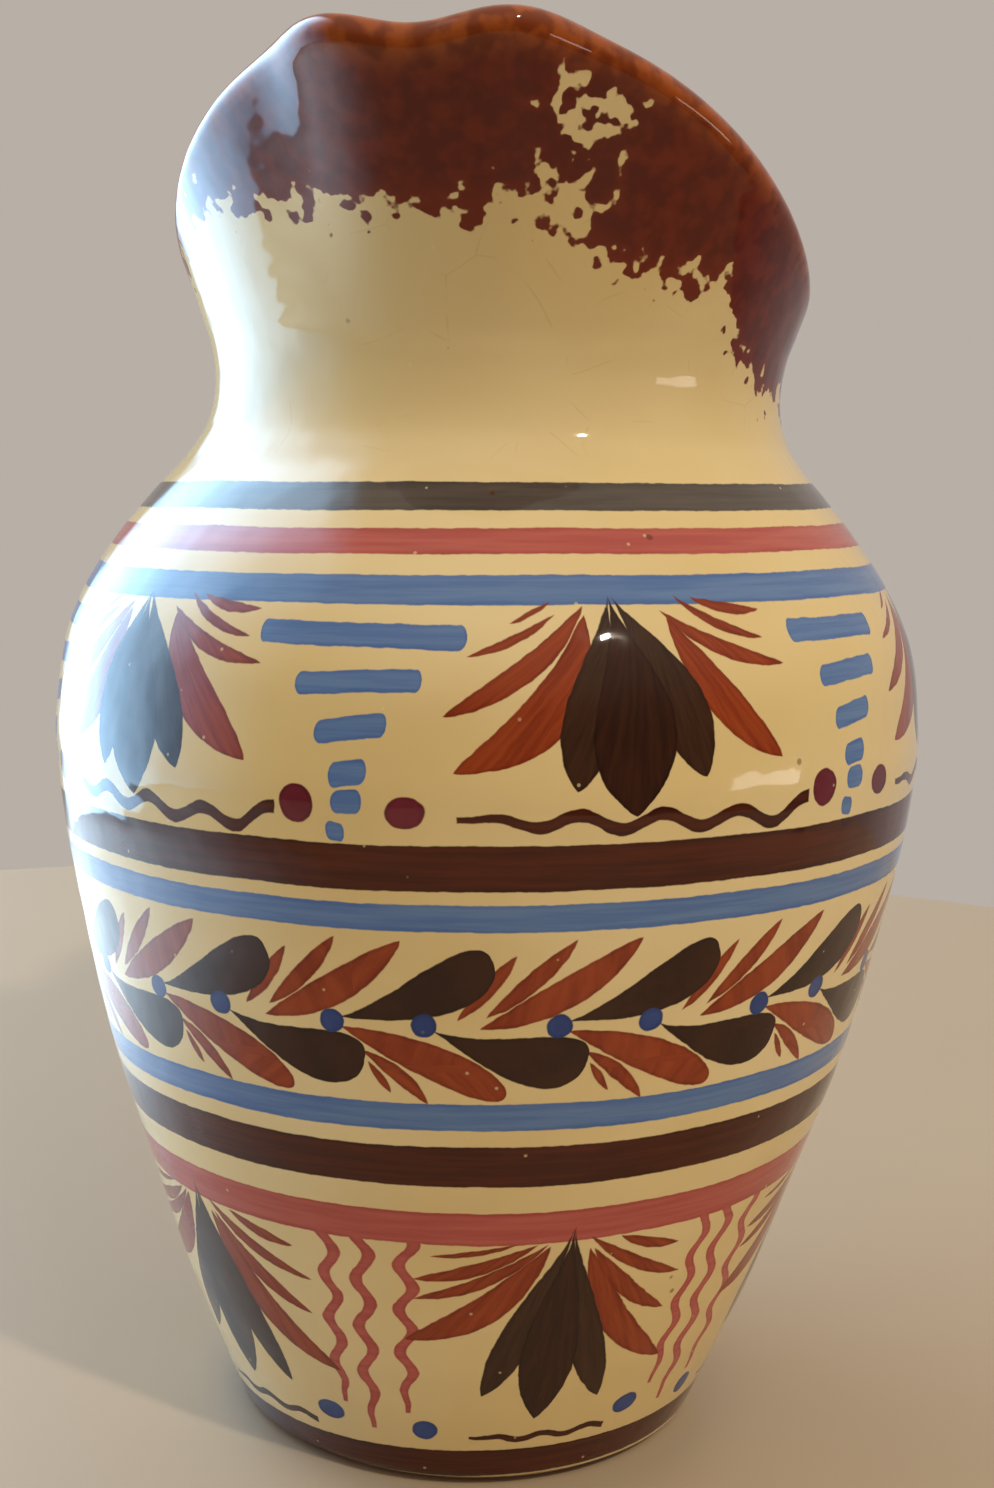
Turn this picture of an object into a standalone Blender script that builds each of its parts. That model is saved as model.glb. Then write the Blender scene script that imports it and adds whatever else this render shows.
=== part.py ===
"""Milk jug of glazed earthenware: one hollow fired piece with its pulled handle.

Metres, +Z up.  The origin is the middle of the flat foot.  The pouring spout
points along -Y and the handle stands at +Y.  Every height is measured from the
surface that the jug stands on.
"""
import math

import bpy
import bmesh
from mathutils import Vector

# Turned body
FOOT_RADIUS = 0.0314
FOOT_BEVEL = 0.0012
BELLY_RADIUS = 0.057
BELLY_HEIGHT = 0.0928
NECK_RADIUS = 0.0365
NECK_HEIGHT = 0.1375

# Wall shape between foot and belly: share of the height, share of the widening
LOWER_WALL = ((0.0, 0.0), (0.19, 0.285), (0.375, 0.508), (0.56, 0.72), (0.75, 0.874), (0.88, 0.96), (1.0, 1.0))
# Wall shape between belly and neck: share of the height, share of the narrowing
SHOULDER = ((0.0, 0.0), (0.26, 0.08), (0.455, 0.275), (0.65, 0.59), (0.78, 0.84), (0.885, 0.965), (1.0, 1.0))

# Flared lip, high at the spout and low at the sides
FLARE_START = 0.1379
FLARE = 0.0129
FLARE_RISE = 0.0348
FLARE_POWER = 1.19
RIM_FRONT = 0.1724
RIM_SIDE = 0.1460
RIM_BACK = 0.1500
RIM_SWEEP = 3.4
BACK_SWEEP = 5.0
MOUTH_SHIFT = 0.0051
MOUTH_SHIFT_START = 0.1247
MOUTH_SHIFT_RISE = 0.0493

# Pouring spout pressed outwards, with a dip in its lip
SPOUT_REACH = 0.0055
SPOUT_START = 0.142
SPOUT_RISE = 0.029
SPOUT_POWER = 1.5
SPOUT_HALF_ANGLE = math.radians(16.6)
SPOUT_TURN = math.radians(-2.4)
SPOUT_DIP = 0.0028
SPOUT_DIP_HALF_ANGLE = math.radians(8.6)

# Wall
WALL = 0.0042
FLOOR = 0.006
INNER_CORNER = 0.009

# Strap handle
HANDLE_TOP = 0.1415
HANDLE_FOOT = 0.0835
HANDLE_REACH = 0.113
HANDLE_LIFT = 0.171
HANDLE_DROP = 0.101
HANDLE_CREST_SHARE = 0.62
HANDLE_WIDTH = 0.019
HANDLE_THICKNESS = 0.0088
HANDLE_ROOT_WIDENING = 0.35
HANDLE_ROOT_THICKENING = 0.75
HANDLE_ROOT_SHARE = 0.16
HANDLE_BITE = 0.0024

# Fineness of the solid
SIDES = 72
SPOUT_CROWDING = 0.45
BODY_ROWS = 18
LIP_ROWS = 12
INNER_BODY_ROWS = 12
INNER_LIP_ROWS = 9
LIP_ARC_STEPS = 4
CORNER_ROWS = 4
HANDLE_RINGS = 30
HANDLE_SIDES = 16
SLOPE_STEP = 0.0005
SINKING_STEPS = 12

# Glaze
GLAZE_COLOUR = (0.62, 0.46, 0.22, 1.0)
GLAZE_ROUGHNESS = 0.12


def clear_scene():
    for item in list(bpy.data.objects):
        bpy.data.objects.remove(item, do_unlink=True)


def curve_through(stations):
    """Smooth curve through (place, value) stations, by cubic pieces."""
    def slope(i):
        low = max(i - 1, 0)
        high = min(i + 1, len(stations) - 1)
        return (stations[high][1] - stations[low][1]) / (stations[high][0] - stations[low][0])

    def value(x):
        i = 0
        while i < len(stations) - 2 and x > stations[i + 1][0]:
            i += 1
        (x0, y0), (x1, y1) = stations[i], stations[i + 1]
        step = x1 - x0
        t = min(max((x - x0) / step, 0.0), 1.0)
        m0 = slope(i) * step
        m1 = slope(i + 1) * step
        return ((2 * t**3 - 3 * t**2 + 1) * y0 + (t**3 - 2 * t**2 + t) * m0
                + (3 * t**2 - 2 * t**3) * y1 + (t**3 - t**2) * m1)

    return value


lower_wall = curve_through(LOWER_WALL)
shoulder = curve_through(SHOULDER)


def turned_radius(height):
    """Radius of the thrown body, before the lip is swept forward."""
    if height <= BELLY_HEIGHT:
        return FOOT_RADIUS + (BELLY_RADIUS - FOOT_RADIUS) * lower_wall(height / BELLY_HEIGHT)
    share = min((height - BELLY_HEIGHT) / (NECK_HEIGHT - BELLY_HEIGHT), 1.0)
    radius = BELLY_RADIUS + (NECK_RADIUS - BELLY_RADIUS) * shoulder(share)
    rise = max(height - FLARE_START, 0.0) / FLARE_RISE
    return radius + FLARE * rise**FLARE_POWER


def spout_angle(angle):
    """Angle from the middle of the spout, between -pi and pi."""
    return math.remainder(angle - SPOUT_TURN, 2 * math.pi)


def outer_radius(angle, height):
    """Outside of the wall; the angle is measured from -Y, where the jug pours."""
    shift = MOUTH_SHIFT * max(height - MOUTH_SHIFT_START, 0.0) / MOUTH_SHIFT_RISE
    across = math.exp(-(spout_angle(angle) / SPOUT_HALF_ANGLE) ** 4)
    along = (max(height - SPOUT_START, 0.0) / SPOUT_RISE) ** SPOUT_POWER
    return turned_radius(height) + shift * math.cos(angle) + SPOUT_REACH * across * along


def rim_height(angle):
    """Top line of the lip."""
    front = ((1 + math.cos(angle)) / 2) ** RIM_SWEEP
    back = ((1 - math.cos(angle)) / 2) ** BACK_SWEEP
    dip = SPOUT_DIP * math.exp(-(spout_angle(angle) / SPOUT_DIP_HALF_ANGLE) ** 2)
    return RIM_SIDE + (RIM_FRONT - RIM_SIDE) * front + (RIM_BACK - RIM_SIDE) * back - dip


def wall_slope(angle, height):
    """Outward run of the wall for each unit of rise."""
    step = SLOPE_STEP
    return (outer_radius(angle, height + step) - outer_radius(angle, height - step)) / (2 * step)


def inner_radius(angle, height):
    """Inside of the wall, a wall's thickness behind the outside."""
    lean = math.hypot(1.0, wall_slope(angle, height))
    return outer_radius(angle, height) - WALL * lean


def on_wall(angle, radius, height):
    return Vector((radius * math.sin(angle), -radius * math.cos(angle), height))


def ring_angles():
    """Angles around the jug, closer together at the spout."""
    even = [2 * math.pi * i / SIDES for i in range(SIDES)]
    return [a - SPOUT_CROWDING * math.sin(a) for a in even]


def lip_edges(angle):
    """Outer and inner edge of the rounded lip as (radius, height) pairs."""
    outer_height = rim_height(angle) - WALL / 2
    slope = wall_slope(angle, outer_height)
    inner_height = outer_height + WALL * slope / math.hypot(1.0, slope)
    outer = (outer_radius(angle, outer_height), outer_height)
    inner = (inner_radius(angle, inner_height), inner_height)
    return outer, inner


def outer_rows(angles):
    """Rings up the outside, level on the body and following the rim above it."""
    rows = [[on_wall(a, FOOT_RADIUS - FOOT_BEVEL, 0.0) for a in angles]]
    for i in range(BODY_ROWS + 1):
        height = FOOT_BEVEL + (MOUTH_SHIFT_START - FOOT_BEVEL) * i / BODY_ROWS
        rows.append([on_wall(a, outer_radius(a, height), height) for a in angles])
    for i in range(1, LIP_ROWS + 1):
        row = []
        for a in angles:
            top = lip_edges(a)[0][1]
            height = MOUTH_SHIFT_START + (top - MOUTH_SHIFT_START) * i / LIP_ROWS
            row.append(on_wall(a, outer_radius(a, height), height))
        rows.append(row)
    return rows


def lip_rows(angles):
    """Rings over the half-round lip, from outside to inside."""
    rows = []
    for i in range(1, LIP_ARC_STEPS):
        turn = math.pi * i / LIP_ARC_STEPS
        row = []
        for a in angles:
            (r0, z0), (r1, z1) = lip_edges(a)
            half_r = (r0 - r1) / 2
            half_z = (z0 - z1) / 2
            radius = (r0 + r1) / 2 + half_r * math.cos(turn) - half_z * math.sin(turn)
            height = (z0 + z1) / 2 + half_z * math.cos(turn) + half_r * math.sin(turn)
            row.append(on_wall(a, radius, height))
        rows.append(row)
    return rows


def inner_rows(angles):
    """Rings down the inside, then round the corner to the floor."""
    rows = []
    for i in range(INNER_LIP_ROWS):
        row = []
        for a in angles:
            top = lip_edges(a)[1][1]
            height = top + (MOUTH_SHIFT_START - top) * i / INNER_LIP_ROWS
            row.append(on_wall(a, inner_radius(a, height), height))
        rows.append(row)
    corner_top = FLOOR + INNER_CORNER
    for i in range(INNER_BODY_ROWS + 1):
        height = MOUTH_SHIFT_START + (corner_top - MOUTH_SHIFT_START) * i / INNER_BODY_ROWS
        rows.append([on_wall(a, inner_radius(a, height), height) for a in angles])
    for i in range(1, CORNER_ROWS + 1):
        turn = math.pi / 2 * i / CORNER_ROWS
        height = corner_top - INNER_CORNER * math.sin(turn)
        inset = INNER_CORNER * (1 - math.cos(turn))
        rows.append([on_wall(a, inner_radius(a, height) - inset, height) for a in angles])
    return rows


def new_object(name, mesh_data, material=None):
    mesh = bpy.data.meshes.new(name)
    mesh_data.to_mesh(mesh)
    mesh_data.free()
    item = bpy.data.objects.new(name, mesh)
    bpy.context.scene.collection.objects.link(item)
    if material:
        mesh.materials.append(material)
    mesh.shade_smooth()
    return item


def skin(rows, first_centre, last_centre):
    """Closed mesh over a stack of rings, with a fan at each end."""
    data = bmesh.new()
    rings = [[data.verts.new(p) for p in row] for row in rows]
    count = len(rings[0])
    for lower, upper in zip(rings, rings[1:]):
        for i in range(count):
            j = (i + 1) % count
            data.faces.new((lower[i], lower[j], upper[j], upper[i]))
    for ring, centre in ((rings[0], first_centre), (rings[-1], last_centre)):
        hub = data.verts.new(centre)
        for i in range(count):
            data.faces.new((ring[i], ring[(i + 1) % count], hub))
    bmesh.ops.recalc_face_normals(data, faces=data.faces)
    return data


def handle_path(t):
    """Point and direction of the handle's middle line in the plane x = 0."""
    ends = [Vector((0, outer_radius(math.pi, h), h)) for h in (HANDLE_TOP, HANDLE_FOOT)]
    p0 = ends[0]
    p1 = Vector((0, p0.y + (HANDLE_REACH - p0.y) * HANDLE_CREST_SHARE, HANDLE_LIFT))
    p2 = Vector((0, HANDLE_REACH, HANDLE_DROP))
    p3 = ends[1]
    u = 1 - t
    point = u**3 * p0 + 3 * u**2 * t * p1 + 3 * u * t**2 * p2 + t**3 * p3
    direction = 3 * u**2 * (p1 - p0) + 6 * u * t * (p2 - p1) + 3 * t**2 * (p3 - p2)
    return point, direction.normalized()


def root_swell(t):
    """1 at both ends of the handle, falling to 0 along it."""
    near = min(t, 1 - t) / HANDLE_ROOT_SHARE
    return (1 - min(near, 1.0)) ** 2


def sink_into_wall(point):
    """Moves a point of the handle's end ring along Y to just under the wall's outside."""
    for _ in range(SINKING_STEPS):
        angle = math.atan2(point.x, -point.y)
        depth = math.hypot(point.x, point.y) - (outer_radius(angle, point.z) - HANDLE_BITE)
        point.y -= depth
    return point


def handle_mesh():
    rings = []
    for i in range(HANDLE_RINGS + 1):
        t = i / HANDLE_RINGS
        centre, direction = handle_path(t)
        outward = Vector((0, direction.z, -direction.y))
        half_width = HANDLE_WIDTH / 2 * (1 + HANDLE_ROOT_WIDENING * root_swell(t))
        half_thick = HANDLE_THICKNESS / 2 * (1 + HANDLE_ROOT_THICKENING * root_swell(t))
        ring = []
        for k in range(HANDLE_SIDES):
            turn = 2 * math.pi * k / HANDLE_SIDES
            side = math.cos(turn) * half_width
            face = math.sin(turn) * half_thick
            ring.append(centre + Vector((side, 0, 0)) + outward * face)
        rings.append(ring)
    for ring in (rings[0], rings[-1]):
        for point in ring:
            sink_into_wall(point)
    hubs = [sink_into_wall(sum(ring, Vector()) / HANDLE_SIDES) for ring in (rings[0], rings[-1])]
    return skin(rings, hubs[0], hubs[1])


def body_mesh():
    angles = ring_angles()
    rows = outer_rows(angles) + lip_rows(angles) + inner_rows(angles)
    return skin(rows, Vector((0, 0, 0)), Vector((0, 0, FLOOR)))


def glaze_material():
    material = bpy.data.materials.new("ivory_glaze")
    material.use_nodes = True
    shader = material.node_tree.nodes["Principled BSDF"]
    shader.inputs["Base Color"].default_value = GLAZE_COLOUR
    shader.inputs["Roughness"].default_value = GLAZE_ROUGHNESS
    shader.inputs["Metallic"].default_value = 0.0
    return material


def main():
    clear_scene()
    jug = new_object("jug", body_mesh(), glaze_material())
    handle = new_object("handle_shape", handle_mesh())
    handle.hide_render = True
    handle.display_type = "WIRE"
    join = jug.modifiers.new("handle", "BOOLEAN")
    join.operation = "UNION"
    join.solver = "EXACT"
    join.object = handle


main()
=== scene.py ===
# %% [markdown]
# # A painted milk jug
#
# The jug is one piece of fired earthenware: a body thrown on the wheel, a lip pinched out to
# pour, a pulled strap handle luted on behind, and a brush decoration under a thick yellow glaze.
# The lesson rebuilds the wall with Geometry Nodes, because its shape follows a rule, and paints it
# with shader nodes, because every mark on it is one press or one pull of a loaded brush.

# %% Load the measured model
import math

import bpy
from mathutils import Matrix, Vector


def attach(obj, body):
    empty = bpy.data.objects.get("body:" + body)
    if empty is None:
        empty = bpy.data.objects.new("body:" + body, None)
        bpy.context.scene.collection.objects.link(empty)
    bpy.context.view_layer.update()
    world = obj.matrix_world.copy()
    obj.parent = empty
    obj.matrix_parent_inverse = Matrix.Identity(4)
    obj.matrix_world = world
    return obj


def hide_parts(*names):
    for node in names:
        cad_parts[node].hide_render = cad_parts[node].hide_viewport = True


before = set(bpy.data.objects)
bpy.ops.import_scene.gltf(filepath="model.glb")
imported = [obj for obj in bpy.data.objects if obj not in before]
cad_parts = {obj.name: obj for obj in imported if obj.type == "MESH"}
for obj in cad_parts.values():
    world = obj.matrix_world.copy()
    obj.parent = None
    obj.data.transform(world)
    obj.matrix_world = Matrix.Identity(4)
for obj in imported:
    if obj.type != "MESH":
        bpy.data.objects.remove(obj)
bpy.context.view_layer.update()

# %% [markdown]
# ## Sums on sockets
#
# Both the shape and the paint are sums. Wiring Math nodes by hand hides the formula, so one small
# class wraps a socket and turns Python's operators into Math nodes, and one method adds any other
# node from its type, its settings and its inputs.

# %% A value that can be used in sums


class Value:
    """A node's output. Each operator adds one Math node after it."""

    def __init__(self, bench, socket):
        self.bench = bench
        self.socket = socket

    def math(self, operation, *others):
        return self.bench.math(operation, self, *others)

    def __add__(self, other):
        return self.math("ADD", other)

    __radd__ = __add__

    def __sub__(self, other):
        return self.math("SUBTRACT", other)

    def __rsub__(self, other):
        return self.bench.math("SUBTRACT", other, self)

    def __mul__(self, other):
        return self.math("MULTIPLY", other)

    __rmul__ = __mul__

    def __truediv__(self, other):
        return self.math("DIVIDE", other)

    def __rtruediv__(self, other):
        return self.bench.math("DIVIDE", other, self)

    def __pow__(self, other):
        return self.math("POWER", other)

    def __neg__(self):
        return self.math("MULTIPLY", -1.0)

    def __abs__(self):
        return self.math("ABSOLUTE")

    def sin(self):
        return self.math("SINE")

    def cos(self):
        return self.math("COSINE")

    def at_least(self, other):
        return self.math("MAXIMUM", other)

    def at_most(self, other):
        return self.math("MINIMUM", other)

    def wrap(self, low, high):
        return self.math("WRAP", high, low)

    def dot(self, axis):
        return self.bench.node("ShaderNodeVectorMath", {"operation": "DOT_PRODUCT"},
                               {0: self, 1: axis}, output="Value")

    def step(self, low, high):
        """0 below low, 1 above high, and a soft step between them."""
        return self.bench.node("ShaderNodeMapRange", {"interpolation_type": "SMOOTHSTEP"},
                               {"Value": self, "From Min": low, "From Max": high})


class Bench:
    """A node tree that nodes are added to."""

    def __init__(self, tree):
        self.tree = tree

    def node(self, kind, settings=None, inputs=None, output=0):
        item = self.tree.nodes.new(kind)
        for name, setting in (settings or {}).items():
            if name == "points":
                self.draw_curve(item.mapping, setting)
            else:
                setattr(item, name, setting)
        for name, given in (inputs or {}).items():
            for value in given if isinstance(given, list) else [given]:
                if isinstance(value, Value):
                    self.tree.links.new(value.socket, item.inputs[name])
                else:
                    item.inputs[name].default_value = value
        return Value(self, item.outputs[output] if item.outputs else None)

    def draw_curve(self, mapping, points):
        line = mapping.curves[0].points
        while len(line) < len(points):
            line.new(0.5, 0.5)
        for point, (x, y) in zip(line, points):
            point.location = (x, y)
        mapping.update()

    def math(self, operation, *values):
        return self.node("ShaderNodeMath", {"operation": operation}, dict(enumerate(values)))

    def vector(self, x=0.0, y=0.0, z=0.0):
        return self.node("ShaderNodeCombineXYZ", None, {"X": x, "Y": y, "Z": z})

    def parts(self, vector):
        item = self.node("ShaderNodeSeparateXYZ", None, {0: vector})
        outputs = item.socket.node.outputs
        return [Value(self, outputs[i]) for i in range(3)]

    def noise(self, place, scale, detail=2.0, roughness=0.5, output=0):
        return self.node("ShaderNodeTexNoise", None,
                         {"Vector": place, "Scale": scale, "Detail": detail, "Roughness": roughness},
                         output=output)

    def mix(self, share, low, high):
        """Colour between two colours."""
        return self.node("ShaderNodeMix", {"data_type": "RGBA"}, {0: share, 6: low, 7: high}, output=2)


print("sums are ready")

# %% [markdown]
# ## The profile
#
# A potter shapes the outside against a rib, a flat tool with a curved edge. It could be one long
# list of points, but here the rib is two smooth curves, one from foot to belly and one from belly
# to neck, with the flare of the lip added above, so that each size can be set by itself. The same
# sizes drive the solid model, so the fine wall lies on it.

# %% Sizes of the thrown wall, in metres
FOOT_RADIUS = 0.0314
FOOT_BEVEL = 0.0012
BELLY_RADIUS = 0.057
BELLY_HEIGHT = 0.0928
NECK_RADIUS = 0.0365
NECK_HEIGHT = 0.1375
FLARE_START = 0.1379
FLARE = 0.0129
FLARE_RISE = 0.0348
FLARE_POWER = 1.19
LOWER_WALL = ((0.0, 0.0), (0.19, 0.285), (0.375, 0.508), (0.56, 0.72), (0.75, 0.874), (0.88, 0.96),
              (1.0, 1.0))
SHOULDER = ((0.0, 0.0), (0.26, 0.08), (0.455, 0.275), (0.65, 0.59), (0.78, 0.84), (0.885, 0.965),
            (1.0, 1.0))
INNER_CORNER = 0.009
SHIFT_START = 0.1247
SHIFT_RISE = 0.0493
SPOUT_START = 0.142
SPOUT_RISE = 0.029
SPOUT_POWER = 1.5
RIM_SWEEP = 3.4
BACK_SWEEP = 5.0
SPOUT_TURN = math.radians(-2.4)

NAMED_SIZES = {
    "Rim front": 0.1724,
    "Rim side": 0.1460,
    "Rim back": 0.1500,
    "Mouth shift": 0.0051,
    "Spout reach": 0.0055,
    "Spout half angle": math.radians(16.6),
    "Spout dip": 0.0028,
    "Dip half angle": math.radians(8.6),
    "Wall": 0.0042,
    "Floor": 0.006,
    "Handle width": 0.019,
    "Handle thickness": 0.0088,
    "Hand wobble": 0.00012,
}


def curve_through(stations):
    """Smooth curve through (place, value) stations, by cubic pieces."""
    def slope(i):
        low = max(i - 1, 0)
        high = min(i + 1, len(stations) - 1)
        return (stations[high][1] - stations[low][1]) / (stations[high][0] - stations[low][0])

    def value(x):
        i = 0
        while i < len(stations) - 2 and x > stations[i + 1][0]:
            i += 1
        (x0, y0), (x1, y1) = stations[i], stations[i + 1]
        step = x1 - x0
        t = min(max((x - x0) / step, 0.0), 1.0)
        return ((2 * t**3 - 3 * t**2 + 1) * y0 + (t**3 - 2 * t**2 + t) * slope(i) * step
                + (3 * t**2 - 2 * t**3) * y1 + (t**3 - t**2) * slope(i + 1) * step)

    return value


lower_wall = curve_through(LOWER_WALL)
shoulder = curve_through(SHOULDER)


def rib_radius(height):
    """Radius of the thrown body, before the lip is swept forward."""
    if height <= BELLY_HEIGHT:
        return FOOT_RADIUS + (BELLY_RADIUS - FOOT_RADIUS) * lower_wall(height / BELLY_HEIGHT)
    share = min((height - BELLY_HEIGHT) / (NECK_HEIGHT - BELLY_HEIGHT), 1.0)
    rise = max(height - FLARE_START, 0.0) / FLARE_RISE
    return BELLY_RADIUS + (NECK_RADIUS - BELLY_RADIUS) * shoulder(share) + FLARE * rise**FLARE_POWER


RIB_TOP = 0.18
RIB_POINTS = 46
rib = [(i / (RIB_POINTS - 1), rib_radius(RIB_TOP * i / (RIB_POINTS - 1)) / BELLY_RADIUS)
       for i in range(RIB_POINTS)]
print("rib radius at foot, belly, neck in mm",
      [round(1000 * rib_radius(h), 1) for h in (0.0, BELLY_HEIGHT, NECK_HEIGHT)])

# %% [markdown]
# ## The wall as a field
#
# Each point of the wall is named by its angle around the jug and a share along the path that the
# clay takes: under the foot, up the outside, over the lip, down the inside and across the floor.
# Five grids are bent by formulas into the five stretches and welded. A spin would give a round
# lip, but the lip of this jug rises to the spout, so a formula does it better.

# %% Start the tree with its named inputs


def new_tree(name, sizes):
    """A Geometry Nodes tree with one named number for each size."""
    tree = bpy.data.node_groups.new(name, "GeometryNodeTree")
    tree.interface.new_socket("Geometry", in_out="OUTPUT", socket_type="NodeSocketGeometry")
    keys = {}
    for label, size in sizes.items():
        socket = tree.interface.new_socket(label, in_out="INPUT", socket_type="NodeSocketFloat")
        socket.default_value = size
        keys[label] = socket.identifier
    bench = Bench(tree)
    start = tree.nodes.new("NodeGroupInput")
    return bench, {label: Value(bench, start.outputs[label]) for label in sizes}, keys


shape, size, shape_keys = new_tree("thrown_and_pulled", NAMED_SIZES)
print("named inputs", len(shape_keys))

# %% Formulas of the wall


def spout_turn(angle):
    """Angle from the middle of the spout, which is pinched a little off the front."""
    return (angle - SPOUT_TURN).wrap(-math.pi, math.pi)


def outer_radius(angle, height):
    """Outside of the wall; the angle is measured from the middle of the pouring side."""
    share = shape.node("ShaderNodeFloatCurve", {"points": rib}, {"Value": height / RIB_TOP})
    turned = share * BELLY_RADIUS
    shift = (height - SHIFT_START).at_least(0.0) / SHIFT_RISE * size["Mouth shift"]
    off = spout_turn(angle) / size["Spout half angle"]
    square = off * off
    across = (-(square * square)).math("EXPONENT")
    along = ((height - SPOUT_START).at_least(0.0) / SPOUT_RISE) ** SPOUT_POWER
    return turned + shift * angle.cos() + size["Spout reach"] * across * along


def rim_height(angle):
    """Height of the top of the lip: high in front, lowest at the sides, with a dip in the spout."""
    front = ((angle.cos() + 1.0) * 0.5) ** RIM_SWEEP
    back = ((1.0 - angle.cos()) * 0.5) ** BACK_SWEEP
    off = spout_turn(angle) / size["Dip half angle"]
    dip = (-(off * off)).math("EXPONENT") * size["Spout dip"]
    return (size["Rim side"] + (size["Rim front"] - size["Rim side"]) * front
            + (size["Rim back"] - size["Rim side"]) * back - dip)


SLOPE_STEP = 0.0005


def wall_slope(angle, height):
    """How fast the outside widens with height."""
    rise = outer_radius(angle, height + SLOPE_STEP) - outer_radius(angle, height - SLOPE_STEP)
    return rise / (2 * SLOPE_STEP)


def lean(slope):
    """Length along a leaning wall for each unit of height."""
    return (slope * slope + 1.0).math("SQRT")


def inner_radius(angle, height):
    """Inside of the wall, so that the wall is as thick square to its lean as elsewhere."""
    return outer_radius(angle, height) - size["Wall"] * lean(wall_slope(angle, height))


def on_wall(angle, radius, height):
    """Place of a point given by angle, radius and height."""
    return shape.vector(angle.sin() * radius, -(angle.cos() * radius), height)


def outer_edge(angle):
    """Radius and height where the outside meets the rounded lip."""
    height = rim_height(angle) - size["Wall"] * 0.5
    return outer_radius(angle, height), height


def inner_edge(angle):
    """Radius and height where the inside meets the rounded lip, straight across from the outside."""
    outer_height = rim_height(angle) - size["Wall"] * 0.5
    slope = wall_slope(angle, outer_height)
    height = outer_height + size["Wall"] * slope / lean(slope)
    return inner_radius(angle, height), height


print("formulas are ready")

# %% [markdown]
# A hand-thrown wall is never quite true: the fingers leave faint rings, and drying pulls the round
# a little. Both are far under a millimetre, but they break up the long reflection of a soft box, so
# they are made in the mesh and not only in the shader.

# %% Bend the five grids

COLUMNS = 252
OUTER_ROWS = 190
LIP_ROWS = 10
INNER_ROWS = 70
FLOOR_ROWS = 14
FOOT_ROWS = 8
SPOUT_CROWDING = 0.3
LEVEL_SHARE = 0.72
WELD_DISTANCE = 0.00001
DRYING_SCALE = 38.0
RING_PITCH = 0.0065
RING_SHARE = 0.12
WOBBLE_START = 0.004
WOBBLE_RAMP = 120.0


def bent_grid(columns, rows, formula):
    """A grid whose points are moved by a formula of two shares from 0 to 1."""
    grid = shape.node("GeometryNodeMeshGrid", None,
                      {"Size X": 1.0, "Size Y": 1.0, "Vertices X": columns + 1, "Vertices Y": rows + 1})
    across, along, _ = shape.parts(shape.node("GeometryNodeInputPosition"))
    place = formula(across + 0.5, along + 0.5)
    return shape.node("GeometryNodeSetPosition", None, {"Geometry": grid, "Position": place})


def around(share):
    """Angle of a share of the way round, with the columns crowded at the spout."""
    even = share * (2 * math.pi)
    return even - even.sin() * SPOUT_CROWDING


def wobble(angle, radius, height):
    """How far the hand left the wall short of the rib."""
    place = on_wall(angle, radius, height)
    drying = shape.noise(place, DRYING_SCALE, 1.0)
    rings = (height * (2 * math.pi / RING_PITCH) + angle).sin() * RING_SHARE
    fade = ((height - WOBBLE_START) * WOBBLE_RAMP).at_most(1.0).at_least(0.0)
    return (drying + rings + RING_SHARE).at_least(0.0) * fade * size["Hand wobble"]


def outside(share, along):
    """From the foot's bevel up to the lip: level rows first, then rows that rise with the lip."""
    angle = around(share)
    top = outer_edge(angle)[1]
    level = (along / LEVEL_SHARE).at_most(1.0)
    above = ((along - LEVEL_SHARE) / (1 - LEVEL_SHARE)).at_least(0.0)
    height = level * (SHIFT_START - FOOT_BEVEL) + FOOT_BEVEL + above * (top - SHIFT_START)
    radius = outer_radius(angle, height)
    return on_wall(angle, radius - wobble(angle, radius, height) * (1.0 - above), height)


def over_lip(share, along):
    """A half circle from the outside over to the inside."""
    angle = around(share)
    (r0, z0), (r1, z1) = outer_edge(angle), inner_edge(angle)
    turn = along * math.pi
    half_r = (r0 - r1) * 0.5
    half_z = (z0 - z1) * 0.5
    radius = (r0 + r1) * 0.5 + half_r * turn.cos() - half_z * turn.sin()
    height = (z0 + z1) * 0.5 + half_z * turn.cos() + half_r * turn.sin()
    return on_wall(angle, radius, height)


def inside(share, along):
    """From the lip down to the rounded corner above the floor."""
    angle = around(share)
    top = inner_edge(angle)[1]
    corner_top = size["Floor"] + INNER_CORNER
    above = (1.0 - along / (1 - LEVEL_SHARE)).at_least(0.0)
    level = (1.0 - (along - (1 - LEVEL_SHARE)) / LEVEL_SHARE).at_most(1.0)
    height = level * (SHIFT_START - corner_top) + corner_top + above * (top - SHIFT_START)
    return on_wall(angle, inner_radius(angle, height), height)


def floor_inside(share, along):
    """Round the corner and across the floor to its middle."""
    angle = around(share)
    turn = (along * 2.0).at_most(1.0) * (math.pi / 2)
    height = size["Floor"] + INNER_CORNER * (1.0 - turn.sin())
    inset = (1.0 - turn.cos()) * INNER_CORNER
    remain = (2.0 - along * 2.0).at_most(1.0)
    return on_wall(angle, (inner_radius(angle, height) - inset) * remain, height)


def under_foot(share, along):
    """From the middle of the flat foot out to its bevel."""
    angle = around(share)
    flat = (along * (FOOT_ROWS / (FOOT_ROWS - 1.0))).at_most(1.0)
    bevel = (along * FOOT_ROWS - (FOOT_ROWS - 1.0)).at_least(0.0)
    flat_radius = FOOT_RADIUS - FOOT_BEVEL
    height = bevel * FOOT_BEVEL
    radius = flat * flat_radius + bevel * (outer_radius(angle, height) - flat_radius)
    return on_wall(angle, radius, height)


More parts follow.
